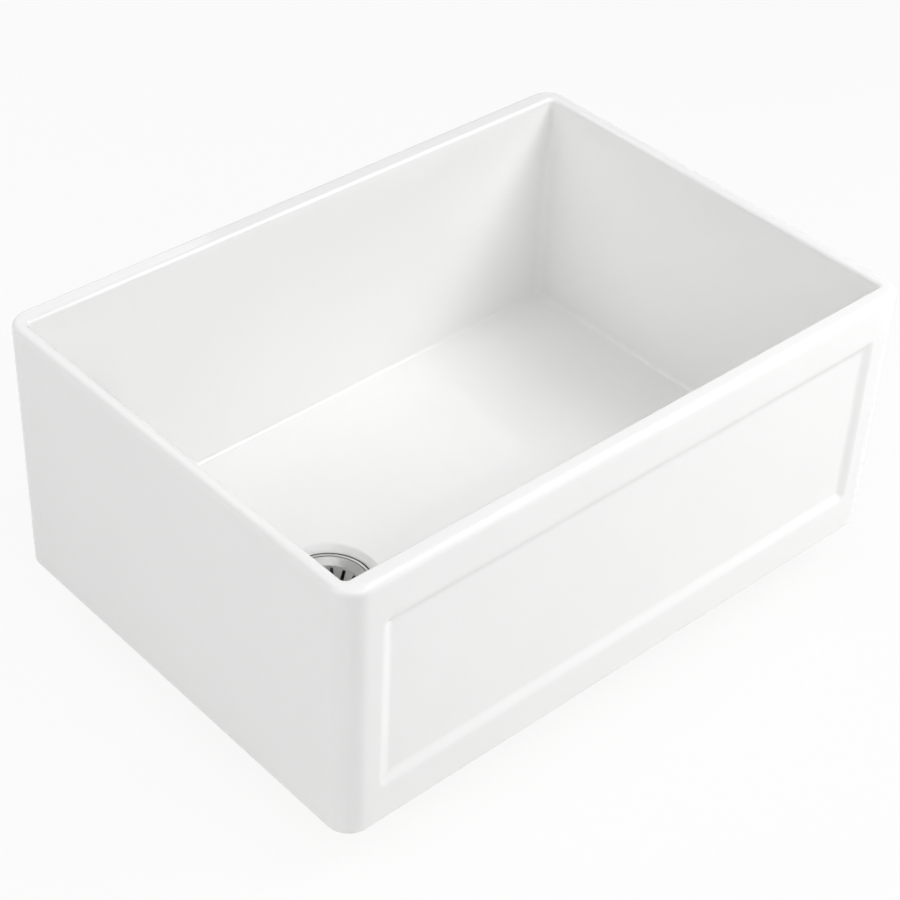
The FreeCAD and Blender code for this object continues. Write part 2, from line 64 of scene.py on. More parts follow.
FLANGE_RADIUS, FLANGE_WIDTH, FLANGE_SHEET = 0.041, 0.008, 0.0015
SEAL_THICKNESS = 0.001
BODY_WALL = 0.002
FIT_GAP = 0.0001
WASHER_WIDTH = 0.012
LIP_ROUND = 0.004
HOLE_GAP = 0.0014
RECESS_GAP = 0.003
RECESS_DEPTH = 0.005
RECESS_ROUND = 0.001
# A cone of 45 degrees is named by its radius at height 0: the flange's face, its back, and the clay's seat.
FLANGE_TIP = FLANGE_RADIUS - FLANGE_SHEET / np.sqrt(2)
FLANGE_FACE = FLANGE_TIP - waste_high[2]
FLANGE_BACK = FLANGE_FACE + FLANGE_SHEET * np.sqrt(2)
SEAT_CONE = FLANGE_BACK + SEAL_THICKNESS * np.sqrt(2)
BOWL_RADIUS = FLANGE_RADIUS - FLANGE_WIDTH
BOWL_OUTSIDE = BOWL_RADIUS + BODY_WALL
HOLE_RADIUS = BOWL_OUTSIDE + HOLE_GAP
RING_BORE = BOWL_OUTSIDE + FIT_GAP
WASHER_RADIUS = RING_BORE + WASHER_WIDTH
RECESS_RADIUS = WASHER_RADIUS + RECESS_GAP
# Steps of the grid along each stretch of the trough, round it and then up, over and down it.
CORNER_COLUMNS, FRAME_COLUMNS, BEVEL_COLUMNS, SIDE_COLUMNS = 14, 5, 30, 36
FOOT_ROWS, BEVEL_ROWS, FIELD_ROWS, FRAME_ROWS = 8, 30, 16, 10
RIM_OUTER_ROWS, RIM_TOP_ROWS, RIM_INNER_ROWS = 12, 4, 10
BASIN_ROWS, FLOOR_ROUND_ROWS, FLOOR_ROWS, LIP_ROWS = 16, 12, 40, 10
RECESS_ROWS, UNDERSIDE_ROWS, BASE_ROWS = 5, 12, 5
# The floor's rows start this share of the way in, and this power draws them together towards the waste.
FLOOR_START, FLOOR_EASE = 0.02, 0.8
WELD_GAP = 1e-6
GLAZE_THIN, GLAZE_THICK = (0.89, 0.89, 0.886, 1), (0.915, 0.915, 0.912, 1)
GLAZE_SMOOTH, GLAZE_DULL = 0.05, 0.1
GLAZE_START, GLAZE_FULL = 0.0008, 0.0018
GLAZE_CLOUDS, GLAZE_SWELLS = 9.0, 45.0
CLAY_COLOUR, CLAY_ROUGHNESS, CLAY_GRAINS = (0.7, 0.64, 0.54, 1), 0.8, 900.0
CLAY_BUMP, CLAY_RELIEF = 0.25, 0.0002


def stations(*runs):
    """Places along a line: each run of (start, end, count) is divided evenly, without its own end."""
    return np.concatenate([np.linspace(start, end, count, endpoint=False) for start, end, count in runs])


def rounded_loop(low, high, radius, side_shares):
    """Points, outward normals and pulls of a rectangle with round corners, anticlockwise from its front.

    A side is divided at the given shares of its straight length, and a corner is its centre plus the radius
    times the unit vector of an angle. The pull says how a point moves when all four sides move out by one:
    the signs of its corner, or along a side the mean of its two corners' signs, weighed by its share.
    """
    signs = np.array([[-1, -1], [1, -1], [1, 1], [-1, 1]])
    centres = np.where(signs < 0, low + radius, high - radius)
    points, normals, pulls = [], [], []
    for side, shares in enumerate(side_shares):
        after = (side + 1) % len(signs)
        angles = np.radians(90 * (side - 1) + stations((0, 90, CORNER_COLUMNS)))
        corner = np.stack([np.cos(angles), np.sin(angles)], axis=1)
        straight = np.broadcast_to(corner[0], (len(shares), 2))
        share = shares[:, None]
        middle = centres[side] * (1 - share) + centres[after] * share
        points += [middle + radius * straight, centres[after] + radius * corner]
        normals += [straight, corner]
        pulls += [signs[side] * (1 - share) + signs[after] * share]
        pulls += [np.broadcast_to(signs[after], corner.shape)]
    return np.concatenate(points), np.concatenate(normals), np.concatenate(pulls)


def at_level(place, level):
    """Rows of plan places with a level for each row, or for each point, as their third number."""
    return np.concatenate([place, np.broadcast_to(level, place.shape[:2])[..., None]], axis=2)


def floor_level(place):
    """Height of the basin's floor: a flat cone that falls to the waste from all sides."""
    away = np.linalg.norm(place - WASTE_AXIS, axis=-1)
    return FLOOR_THICKNESS + (away - BOWL_RADIUS) * FLOOR_FALL


def panel_depth(x, z):
    """Depth of the sunk panel at a place on the front.

    It is 0 on the frame, full on the field, and on the bevel the S curve 3 q^2 - 2 q^3 of the share q that is
    crossed. A line of equal depth is a rectangle with round corners: the distance inside it is the corner
    radius less the length of what passes the rounded corner's centre.
    """
    half_length = (sink_high[0] - sink_low[0]) / 2 - PANEL_SIDE
    half_height = (RIM_LEVEL - PANEL_TOP - PANEL_BOTTOM) / 2
    past_ends = np.abs(x) - half_length
    past_edges = np.abs(z - PANEL_BOTTOM - half_height) - half_height
    beside = np.stack([past_ends, past_edges], axis=-1) + PANEL_CORNER
    outside = np.linalg.norm(np.maximum(beside, 0), axis=-1) + np.minimum(beside.max(axis=-1), 0)
    share = np.clip((PANEL_CORNER - outside) / PANEL_BEVEL, 0, 1)
    return PANEL_DEPTH * (3 * share**2 - 2 * share**3)


def sink_surface():
    """The whole skin of the trough as one grid that closes on itself both ways.

    A column keeps its place round the plan. The rows go up the outside, over the rim, down the basin's
    leaning walls, across the floor in straight lines to the waste, down through its hole and out along the
    underside. Rounds are arcs of offset and height, carried along the normals of their loop.
    """
    low, high = sink_low[:2], sink_high[:2]
    straight_end = high[0] - CORNER_RADIUS
    panel_end = high[0] - PANEL_SIDE
    field_end = panel_end - PANEL_BEVEL
    front = stations(
        (-straight_end, -panel_end, FRAME_COLUMNS),
        (-panel_end, -field_end, BEVEL_COLUMNS),
        (-field_end, field_end, SIDE_COLUMNS),
        (field_end, panel_end, BEVEL_COLUMNS),
        (panel_end, straight_end, FRAME_COLUMNS),
    )
    eased = (1 - np.cos(np.pi * stations((0, 1, SIDE_COLUMNS)))) / 2
    shares = [(front + straight_end) / (2 * straight_end), eased, eased, eased]
    outside, outside_normal, _ = rounded_loop(low, high, CORNER_RADIUS, shares)
    basin_low = low + (WALL_LEFT, WALL_FRONT)
    basin_high = high - (WALL_RIGHT, WALL_BACK)
    basin, basin_normal, basin_pull = rounded_loop(basin_low, basin_high, BASIN_CORNER, shares)

    # The outside, with the panel sunk into its front.
    panel_top = RIM_LEVEL - PANEL_TOP
    up = stations(
        (BASE_ROUND, PANEL_BOTTOM, FOOT_ROWS),
        (PANEL_BOTTOM, PANEL_BOTTOM + PANEL_BEVEL, BEVEL_ROWS),
        (PANEL_BOTTOM + PANEL_BEVEL, panel_top - PANEL_BEVEL, FIELD_ROWS),
        (panel_top - PANEL_BEVEL, panel_top, BEVEL_ROWS),
        (panel_top, RIM_LEVEL - RIM_ROUND_OUTER, FRAME_ROWS),
    )[:, None]
    wall = at_level(np.broadcast_to(outside, (len(up), *outside.shape)), up)
    face = wall[:, :len(front)]
    face[..., 1] += panel_depth(face[..., 0], face[..., 2])

    # The rim. Its inner round touches the flat top and the leaning wall, so its centre lies outside the
    # wall's line at the rim by its radius times 1 / cos less tan of the lean.
    turn = np.radians(stations((0, 90, RIM_OUTER_ROWS)))[:, None]
    reach = RIM_ROUND_OUTER * (1 - np.cos(turn))
    drop = RIM_ROUND_OUTER * (1 - np.sin(turn))
    rim_outer = at_level(outside - outside_normal * reach[..., None], RIM_LEVEL - drop)
    lean = np.arctan(WALL_LEAN)
    turn = np.pi / 2 - stations((0, np.pi / 2 - lean, RIM_INNER_ROWS))[:, None]
    reach = RIM_ROUND_INNER * (1 / np.cos(lean) - WALL_LEAN - np.cos(turn))
    drop = RIM_ROUND_INNER * (1 - np.sin(turn))
    rim_inner = at_level(basin + basin_normal * reach[..., None], RIM_LEVEL - drop)
    crown = outside - outside_normal * RIM_ROUND_OUTER
    share = stations((0, 1, RIM_TOP_ROWS))[:, None, None]
    rim_top = at_level(crown * (1 - share) + rim_inner[0, :, :2] * share, RIM_LEVEL)

    # The basin's walls. Their foot is found in two passes, because the floor's level there varies with it.
    foot = basin - basin_pull * (RIM_LEVEL - FLOOR_THICKNESS - FLOOR_ROUND) * WALL_LEAN
    foot_level = floor_level(foot) + FLOOR_ROUND * (1 - np.sin(lean))
    foot = basin - basin_pull * ((RIM_LEVEL - foot_level) * WALL_LEAN)[:, None]
    share = (1 - np.cos(np.pi * stations((0, 1, BASIN_ROWS)))[:, None]) / 2
    down = rim_inner[-1, :, 2] * (1 - share) + foot_level * share
    down[0] = RIM_LEVEL - RIM_ROUND_INNER * (1 - np.sin(lean))
    basin_wall = at_level(basin - basin_pull * ((RIM_LEVEL - down) * WALL_LEAN)[..., None], down)
    turn = np.linspace(lean, np.pi / 2, FLOOR_ROUND_ROWS)[:, None]
    reach = FLOOR_ROUND * (np.cos(lean) - np.cos(turn))
    place = foot - basin_normal * reach[..., None]
    floor_round = at_level(place, floor_level(place) + FLOOR_ROUND * (1 - np.sin(turn)))

    # The floor and the hole. The lip's round touches the falling floor and the seat's cone, which meet at the
    # lip, so its centre lies on their bisector, its radius over the sine of half their angle from the lip.
    edge = floor_round[-1, :, :2] - WASTE_AXIS
    edge_away = np.linalg.norm(edge, axis=1, keepdims=True)
    bearing = edge / edge_away
    fall = np.arctan(FLOOR_FALL)
    lip = (FLOOR_THICKNESS + SEAT_CONE - BOWL_RADIUS * FLOOR_FALL) / (1 - FLOOR_FALL)
    half_angle = (np.pi * 3 / 4 + fall) / 2
    bisector = fall - half_angle
    lip_centre = np.array([lip, lip - SEAT_CONE])
    lip_centre = lip_centre + LIP_ROUND / np.sin(half_angle) * np.array([np.cos(bisector), np.sin(bisector)])
    turn = np.linspace(np.pi / 2 + fall, np.pi * 3 / 4, LIP_ROWS)
    lip_round = lip_centre + LIP_ROUND * np.stack([np.cos(turn), np.sin(turn)], axis=1)
    turn = np.linspace(0, np.pi / 2, RECESS_ROWS)
    recess_edge = np.stack([RECESS_RADIUS + RECESS_ROUND * (1 - np.cos(turn)),
                            RECESS_ROUND * (1 - np.sin(turn))], axis=1)
    section = np.concatenate([
        lip_round,
        [(HOLE_RADIUS, HOLE_RADIUS - SEAT_CONE), (HOLE_RADIUS, RECESS_DEPTH), (RECESS_RADIUS, RECESS_DEPTH)],
        recess_edge,
    ])
    share = stations((FLOOR_START, 1, FLOOR_ROWS))[:, None, None] ** FLOOR_EASE
    place = WASTE_AXIS + bearing * (edge_away * (1 - share) + lip_round[0, 0] * share)
    floor = at_level(place, floor_level(place))
    hole = at_level(WASTE_AXIS + bearing * section[:, 0, None, None], section[:, 1, None])

    # The underside, out to the round that meets the outside again.
    turn = np.radians(stations((0, 90, BASE_ROWS)))[:, None]
    reach = BASE_ROUND * (1 - np.sin(turn))
    base_round = at_level(outside - outside_normal * reach[..., None], BASE_ROUND * (1 - np.cos(turn)))
    share = np.linspace(0, 1, UNDERSIDE_ROWS)[1:-1, None, None]
    underside = at_level(hole[-1, :, :2] * (1 - share) + base_round[0, :, :2] * share, 0)
    return np.concatenate([
        wall, rim_outer, rim_top, rim_inner, basin_wall,
        floor_round, floor, hole, underside, base_round,
    ])


def skin(name, *grids, close_rows=False, close_columns=False):
    """A smooth mesh of quads over grids of points, welded where they meet. The last row or column of each
    grid may join its first, and a row that shrinks to one point becomes a pole."""
    points, faces, count = [], [], 0
    for grid in grids:
        rows, columns = grid.shape[:2]
        row = np.arange(rows if close_rows else rows - 1)[:, None]
        column = np.arange(columns if close_columns else columns - 1)[None, :]
        next_row, next_column = (row + 1) % rows, (column + 1) % columns
        corners = [(row, column), (row, next_column), (next_row, next_column), (next_row, column)]
        faces.append(count + np.stack([r * columns + c for r, c in corners], axis=-1).reshape(-1, 4))
        points.append(grid.reshape(-1, 3))
        count += rows * columns
    mesh = bpy.data.meshes.new(name)
    mesh.from_pydata(np.concatenate(points), [], np.concatenate(faces))
    welded = bmesh.new()
    welded.from_mesh(mesh)
    bmesh.ops.remove_doubles(welded, verts=welded.verts, dist=WELD_GAP)
    welded.to_mesh(mesh)
    welded.free()
    mesh.shade_smooth()
    return mesh


def add_piece(name, body, node, slot, material, *grids, close_rows=True):
    """Puts a skin into the scene as the piece that stands for a solid and moves with its body. Its flat faces
    keep their own normals, and the narrow rounds between them take up the turn."""
    mesh = skin(name, *grids, close_rows=close_rows, close_columns=True)
    mesh.materials.append(material)
    piece = bpy.data.objects.new(name, mesh)
    bpy.context.collection.objects.link(piece)
    piece.modifiers.new("even_shading", "WEIGHTED_NORMAL")
    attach(piece, body)
    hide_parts(node)
    return piece


def put(tree, kind, inputs, **settings):
    """Adds a shader node. An input that is another node's output is joined to it, any other is a value."""
    node = tree.nodes.new(kind)
    for key, value in settings.items():
        setattr(node, key, value)
    for key, value in inputs.items():
        if isinstance(value, bpy.types.NodeSocket):
            tree.links.new(value, node.inputs[key])
        else:
            node.inputs[key].default_value = value
    return node


def new_material(name):
    """An empty material: its tree, its shader and the place on the object that its patterns follow."""
    material = bpy.data.materials.new(name)
    material.use_nodes = True
    tree = material.node_tree
    place = put(tree, "ShaderNodeTexCoord", {}).outputs["Object"]
    return material, tree, tree.nodes["Principled BSDF"], place


def noise(tree, place, scale, detail=3.0):
    """Cloudy noise with about so many clouds to the metre."""
    return put(tree, "ShaderNodeTexNoise", {"Vector": place, "Scale": scale, "Detail": detail}).outputs["Fac"]


def ramp(tree, value, low, high, start=0.0, end=1.0):
    """A value that runs from low to high while another runs from start to end."""
    spans = {"From Min": start, "From Max": end, "To Min": low, "To Max": high}
    return put(tree, "ShaderNodeMapRange", {"Value": value, **spans}).outputs["Result"]


def blend(tree, share, first, second, kind="FLOAT"):
    """The first value where the share is 0 and the second where it is 1, or the same for two colours."""
    inputs = {"Factor": share, "A": first, "B": second}
    return put(tree, "ShaderNodeMix", inputs, data_type=kind).outputs["Result"]


def dress(tree, shader, colour, roughness, relief, strength, depth):
    """Gives a shader its colour, its roughness and a bump of some depth in metres."""
    bump = put(tree, "ShaderNodeBump", {"Height": relief, "Strength": strength, "Distance": depth})
    tree.links.new(colour, shader.inputs["Base Color"])
    tree.links.new(roughness, shader.inputs["Roughness"])
    tree.links.new(bump.outputs["Normal"], shader.inputs["Normal"])


def fireclay():
    """White glaze with faint clouds in its colour and a slow swell in its gloss, over bare grainy clay. The
    share of glaze rises with the height, so the clay shows only on the face that the sink stands on."""
    material, tree, shader, place = new_material("white_glazed_fireclay")
    height = put(tree, "ShaderNodeSeparateXYZ", {"Vector": place}).outputs["Z"]
    glazed = ramp(tree, height, 0, 1, start=GLAZE_START, end=GLAZE_FULL)
    swell = noise(tree, place, GLAZE_SWELLS, detail=2.0)
    grain = noise(tree, place, CLAY_GRAINS, detail=4.0)
    glaze = blend(tree, noise(tree, place, GLAZE_CLOUDS), GLAZE_THIN, GLAZE_THICK, "RGBA")
    colour = blend(tree, glazed, CLAY_COLOUR, glaze, "RGBA")
    roughness = blend(tree, glazed, CLAY_ROUGHNESS, ramp(tree, swell, GLAZE_SMOOTH, GLAZE_DULL))
    dress(tree, shader, colour, roughness, blend(tree, glazed, grain, swell), CLAY_BUMP, CLAY_RELIEF)
    return material


add_piece("fireclay_sink", "sink", "sink_body", "fireclay", fireclay(), sink_surface())

# Waste body: turned from stainless steel, with a polished flange, a ledge round the basket's conical seat,
# a threaded bowl, the shoulder that the stopper closes on, and a threaded tail for the trap.
TAIL_RADIUS, TAIL_WALL, TAIL_LENGTH = 0.0239, 0.0034, 0.026
TAIL_BORE = TAIL_RADIUS - TAIL_WALL
SHOULDER_WALL = 0.0025
BOWL_BOTTOM = waste_low[2] + TAIL_LENGTH
SHOULDER = BOWL_BOTTOM + SHOULDER_WALL
BOWL_THREAD_TOP = 0.008
THREAD_PITCH, THREAD_DEPTH = 0.002309, 0.0012
THREAD_SAMPLES = 8
RIM_INSET, LEDGE_GAP = 0.0025, 0.0008
RIM_RADIUS = FLANGE_TIP - RIM_INSET
LEDGE_RADIUS = RIM_RADIUS + LEDGE_GAP
LEDGE_SLOPE = np.tan(np.radians(20))
LEDGE_LEVEL = waste_high[2] - (FLANGE_TIP - LEDGE_RADIUS) * LEDGE_SLOPE
TINY_ROUND, FINE_ROUND, SOFT_ROUND, STEP_ROUND, BOWL_ROUND = 0.0002, 0.0004, 0.0006, 0.001, 0.0015
STEEL_CLEAN, STEEL_SMEARED = (0.43, 0.43, 0.425, 1), (0.3956, 0.3956, 0.391, 1)
STEEL_SMOOTH, STEEL_DULL = 0.24, 0.36
STEEL_SMEARS, STEEL_RINGS = 120.0, 2600.0
STEEL_BUMP, STEEL_RELIEF = 0.15, 0.00005


def rounded_outline(corners, closed=True, steps=5):
    """An outline of radii and heights through corners of (radius, height, round).

    At a corner an arc touches both sides: it starts round / tan(h) from the corner, h being half the angle
    between the sides, and its centre lies on their bisector, round / sin(h) from the corner. An open outline
    starts and ends on the axis or at a bare edge, with no arc there.
    """
    corners = np.array(corners, dtype=float)
    point, size = corners[:, :2], corners[:, 2, None]
    towards = [np.roll(point, 1, axis=0) - point, np.roll(point, -1, axis=0) - point]
    before, after = [way / np.linalg.norm(way, axis=1, keepdims=True) for way in towards]
    half = np.arccos(np.clip(np.sum(before * after, axis=1, keepdims=True), -1, 1)) / 2
    middle = before + after
    centre = point + middle / np.linalg.norm(middle, axis=1, keepdims=True) * size / np.sin(half)
    start, end = [point + way * size / np.tan(half) - centre for way in (before, after)]
    first, last = np.arctan2(start[:, 1], start[:, 0]), np.arctan2(end[:, 1], end[:, 0])
    swing = (last - first + np.pi) % (2 * np.pi) - np.pi
    angle = first[:, None] + swing[:, None] * np.linspace(0, 1, steps)
    arcs = centre[:, None] + size[:, None] * np.stack([np.cos(angle), np.sin(angle)], axis=-1)
    if closed:
        return arcs.reshape(-1, 2)
    return np.concatenate([point[:1], arcs[1:-1].reshape(-1, 2), point[-1:]])


def divided(outline, step, radii):
    """The outline with its upright stretches at some radii divided into steps no longer than one given."""
    after = np.roll(outline, -1, axis=0)
    fine = np.any([np.isclose(outline[:, 0], r) & np.isclose(after[:, 0], r) for r in radii], axis=0)
    count = np.where(fine, np.ceil(np.linalg.norm(after - outline, axis=1) / step), 1).astype(int).clip(1)
    which = np.repeat(np.arange(len(outline)), count)
    share = (np.arange(len(which)) - np.repeat(np.cumsum(count) - count, count)) / count[which]
    return outline[which] * (1 - share[:, None]) + after[which] * share[:, None]


def turned(outline, columns=144, angles=None):
    """A skin of revolution about the waste's axis: each point of the outline goes round at its own height.
    The radius may be one number for a point or one for each angle."""
    angles = np.radians(stations((0, 360, columns))) if angles is None else angles
    radius, height = outline[..., 0], outline[..., 1]
    if outline.ndim == 2:
        radius, height = radius[:, None], height[:, None]
    place = WASTE_AXIS + radius[..., None] * np.stack([np.cos(angles), np.sin(angles)], axis=-1)
    return at_level(place, height)


def threaded(outline, radius, low, high, pitch, depth, columns=144):
    """The same outline for each angle, with a screw thread cut into one radius: the cut is half the depth
    times 1 less the cosine of the turns climbed, and it runs out over one pitch at each end."""
    angles = np.radians(stations((0, 360, columns)))
    height = outline[:, 1, None]
    turns = height / pitch - angles / (2 * np.pi)
    run_out = np.clip((height - low) / pitch, 0, 1) * np.clip((high - height) / pitch, 0, 1)
    on_thread = np.isclose(outline[:, 0, None], radius)
    cut = on_thread * run_out * depth * (1 - np.cos(2 * np.pi * turns)) / 2
    return np.stack([outline[:, 0, None] - cut, np.broadcast_to(height, cut.shape)], axis=-1)


def waste_surface():
    """The waste's section turned about its axis, with both threads cut into it."""
    outline = rounded_outline([
        (FLANGE_TIP, waste_high[2], FINE_ROUND),
        (LEDGE_RADIUS, LEDGE_LEVEL, SOFT_ROUND),
        (LEDGE_RADIUS, LEDGE_RADIUS - FLANGE_FACE, TINY_ROUND),
        (BOWL_RADIUS, BOWL_RADIUS - FLANGE_FACE, BOWL_ROUND),
        (BOWL_RADIUS, SHOULDER, BOWL_ROUND),
        (TAIL_BORE, SHOULDER, STEP_ROUND),
        (TAIL_BORE, waste_low[2], FINE_ROUND),
        (TAIL_RADIUS, waste_low[2], SOFT_ROUND),
        (TAIL_RADIUS, BOWL_BOTTOM, STEP_ROUND),
        (BOWL_OUTSIDE, BOWL_BOTTOM, BOWL_ROUND),
        (BOWL_OUTSIDE, BOWL_OUTSIDE - FLANGE_BACK, STEP_ROUND),
        (FLANGE_RADIUS, FLANGE_RADIUS - FLANGE_BACK, FINE_ROUND),
    ])
    outline = divided(outline, THREAD_PITCH / THREAD_SAMPLES, (TAIL_RADIUS, BOWL_OUTSIDE))
    tail = threaded(outline, TAIL_RADIUS, waste_low[2], BOWL_BOTTOM, THREAD_PITCH, THREAD_DEPTH)
    bowl = threaded(outline, BOWL_OUTSIDE, BOWL_BOTTOM, BOWL_THREAD_TOP, THREAD_PITCH, THREAD_DEPTH)
    return turned(np.minimum(tail, bowl))


def steel():
    """Stainless steel with the fine rings of a polishing wheel: noise along the distance from the axis."""
    material, tree, shader, place = new_material("polished_steel")
    centre = (-WASTE_AXIS[0], -WASTE_AXIS[1], 0)
    centred = put(tree, "ShaderNodeMapping", {"Vector": place, "Location": centre}).outputs["Vector"]
    plan = {0: centred, 1: (1, 1, 0)}
    flat = put(tree, "ShaderNodeVectorMath", plan, operation="MULTIPLY").outputs["Vector"]
    away = put(tree, "ShaderNodeVectorMath", {0: flat}, operation="LENGTH").outputs["Value"]
    wheel = {"W": away, "Scale": STEEL_RINGS, "Detail": 3.0}
    rings = put(tree, "ShaderNodeTexNoise", wheel, noise_dimensions="1D").outputs["Fac"]
    smears = noise(tree, place, STEEL_SMEARS)
    colour = blend(tree, smears, STEEL_SMEARED, STEEL_CLEAN, "RGBA")
    roughness = ramp(tree, smears, STEEL_SMOOTH, STEEL_DULL)
    shader.inputs["Metallic"].default_value = 1.0
    dress(tree, shader, colour, roughness, rings, STEEL_BUMP, STEEL_RELIEF)
    return material


polished_steel = steel()
add_piece("waste_body_steel", "sink", "waste_body", "polished_steel", polished_steel, waste_surface())

# Flange seal: a thin cone of black rubber, moulded in one piece. It is pressed between the flange and the
# clay, so that only its lip shows, as a dark line round the steel.
SEAL_LIP, SEAL_EDGE = 0.001, 0.0003
SEAL_RADIUS = FLANGE_RADIUS + SEAL_LIP
RUBBER_BLACK, RUBBER_BLOOM = (0.018, 0.018, 0.019, 1), (0.04, 0.04, 0.041, 1)
RUBBER_SMOOTH, RUBBER_DULL = 0.5, 0.7
RUBBER_CLOUDS, RUBBER_GRAINS = 60.0, 1500.0
RUBBER_BUMP, RUBBER_RELIEF = 0.2, 0.0001


def rubber():
    """Black moulded rubber, dull, with a fine matt grain and a paler bloom in clouds."""
    material, tree, shader, place = new_material("black_rubber")
    grain = noise(tree, place, RUBBER_GRAINS)
    colour = blend(tree, noise(tree, place, RUBBER_CLOUDS), RUBBER_BLACK, RUBBER_BLOOM, "RGBA")
    roughness = ramp(tree, grain, RUBBER_SMOOTH, RUBBER_DULL)
    dress(tree, shader, colour, roughness, grain, RUBBER_BUMP, RUBBER_RELIEF)
    return material


seal_rubber = rubber()
seal_outline = rounded_outline([
    (HOLE_RADIUS, HOLE_RADIUS - FLANGE_BACK, SEAL_EDGE),
    (HOLE_RADIUS, HOLE_RADIUS - SEAT_CONE, SEAL_EDGE),
    (SEAL_RADIUS, SEAL_RADIUS - SEAT_CONE, SEAL_EDGE),
    (SEAL_RADIUS, SEAL_RADIUS - FLANGE_BACK, SEAL_EDGE),
])
add_piece("flange_seal_rubber", "sink", "flange_seal", "seal_rubber", seal_rubber, turned(seal_outline))

# Gasket and slip washer: a soft rubber ring that fills the recess under the floor, and a slippery plastic
# ring below it, so that the nut can turn without dragging the rubber round.
GASKET_EDGE, SLIP_EDGE = 0.0012, 0.0003
SLIP_DARK, SLIP_LIGHT = (0.72, 0.71, 0.67, 1), (0.8, 0.79, 0.76, 1)
PLASTIC_SMOOTH, PLASTIC_DULL = 0.35, 0.5
PLASTIC_MOTTLES = 250.0
PLASTIC_BUMP, PLASTIC_RELIEF = 0.1, 0.0001


def flat_ring(inner, outer, low, high, edge):
    """The section of a flat ring with its four edges rounded."""
    return rounded_outline([(inner, low, edge), (outer, low, edge), (outer, high, edge), (inner, high, edge)])


def plastic(name, dark, light):
    """Moulded plastic with a slight mottle in its colour and its sheen."""
    material, tree, shader, place = new_material(name)
    mottle = noise(tree, place, PLASTIC_MOTTLES)
    colour = blend(tree, mottle, dark, light, "RGBA")
    roughness = ramp(tree, mottle, PLASTIC_SMOOTH, PLASTIC_DULL)
    dress(tree, shader, colour, roughness, mottle, PLASTIC_BUMP, PLASTIC_RELIEF)
    return material


def levels(node):
    """The lowest and highest level of a solid."""
    low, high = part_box(node)
    return low.z, high.z


gasket = turned(flat_ring(RING_BORE, WASHER_RADIUS, *levels("under_gasket"), GASKET_EDGE))
add_piece("under_gasket_rubber", "sink", "under_gasket", "seal_rubber", seal_rubber, gasket)
slip_plastic = plastic("natural_white_plastic", SLIP_DARK, SLIP_LIGHT)
slip_washer = turned(flat_ring(RING_BORE, WASHER_RADIUS, *levels("friction_washer"), SLIP_EDGE))
add_piece("slip_washer_plastic", "sink", "friction_washer", "slip_plastic", slip_plastic, slip_washer)

# Lock nut: a large brass hexagon, cast and then turned. It screws up the thread of the bowl and pulls the
# flange down onto its seal.
NUT_WALL, NUT_CORNER_BREAK = 0.007, 0.002
NUT_ROWS = 25
BRASS_TARNISHED, BRASS_CLEAN = (0.5, 0.36, 0.16, 1), (0.74, 0.58, 0.3, 1)
BRASS_DULL, BRASS_SMOOTH = 0.42, 0.26
BRASS_CLOUDS, BRASS_GRAINS = 70.0, 700.0
BRASS_BUMP, BRASS_RELIEF = 0.1, 0.0001


def hexagon_nut(bore, flats, low, high, corner_break, columns=144):
    """A six-sided ring. Its outside is the smaller of two radii: the hexagon's, half its flats over the
    cosine of the angle from the nearest flat, and that of a cone of 30 degrees which breaks the corners at
    each end."""
    angles = np.radians(stations((0, 360, columns)))
    hexagon = flats / 2 / np.cos(angles % (np.pi / 3) - np.pi / 6)
    side = np.linspace(low, high, NUT_ROWS)[:, None]
    cone = flats / 2 - corner_break + np.minimum(side - low, high - side) * np.sqrt(3)
    inside = np.full((1, columns), bore)
    radius = np.concatenate([inside, np.minimum(hexagon, cone), inside])
    height = np.concatenate([[[low]], side, [[high]]])
    return turned(np.stack([radius, np.broadcast_to(height, radius.shape)], axis=-1), angles=angles)


def brass():
    """Brass as it was turned, a little dulled, with darker clouds where it has tarnished."""
    material, tree, shader, place = new_material("plain_brass")
    tarnish = noise(tree, place, BRASS_CLOUDS, detail=4.0)
    colour = blend(tree, tarnish, BRASS_TARNISHED, BRASS_CLEAN, "RGBA")
    roughness = ramp(tree, tarnish, BRASS_DULL, BRASS_SMOOTH)
    shader.inputs["Metallic"].default_value = 1.0
    dress(tree, shader, colour, roughness, noise(tree, place, BRASS_GRAINS), BRASS_BUMP, BRASS_RELIEF)
    return material


lock_nut = hexagon_nut(RING_BORE, 2 * (RING_BORE + NUT_WALL), *levels("lock_nut"), NUT_CORNER_BREAK)
add_piece("lock_nut_brass", "sink", "lock_nut", "nut_brass", brass(), lock_nut)

# Strainer basket: pressed from one sheet of stainless steel, with a conical rim that rests on the flange, a
# wall pierced by round-ended slots and a flat base. It lies loose in the waste and lifts out.
BASKET_SHEET, SEAT_GAP, BASKET_GAP, BASKET_TAPER = 0.0008, 0.0003, 0.0006, 0.014
SHEET_EDGE, SHEET_EDGE_STEPS = 0.00025, 3
BEND_ROUND, BEND_STEPS = 0.002, 9
SLOT_COUNT, SLOT_WIDTH = 16, 0.0032
SLOT_BASE_MARGIN, SLOT_TOP_MARGIN, SLOT_CELL_MARGIN = 0.004, 0.0016, 0.001
BASKET_BACK = FLANGE_FACE - SEAT_GAP * np.sqrt(2)
BASKET_FACE = BASKET_BACK - BASKET_SHEET * np.sqrt(2)
RIM_TIP = RIM_RADIUS - BASKET_SHEET / np.sqrt(2)
BEND_RADIUS = BOWL_RADIUS - BASKET_GAP - BASKET_SHEET
BEND_LEVEL = BEND_RADIUS - BASKET_FACE
BASE_RADIUS = BEND_RADIUS - BASKET_TAPER
BASKET_BOTTOM = levels("basket_shell")[0]
BASKET_FLOOR = BASKET_BOTTOM + BASKET_SHEET
SPINDLE_RADIUS, GRIP_WIRE, BUSH_WALL = 0.003, 0.0014, 0.0009
BUSH_BORE = SPINDLE_RADIUS + FIT_GAP
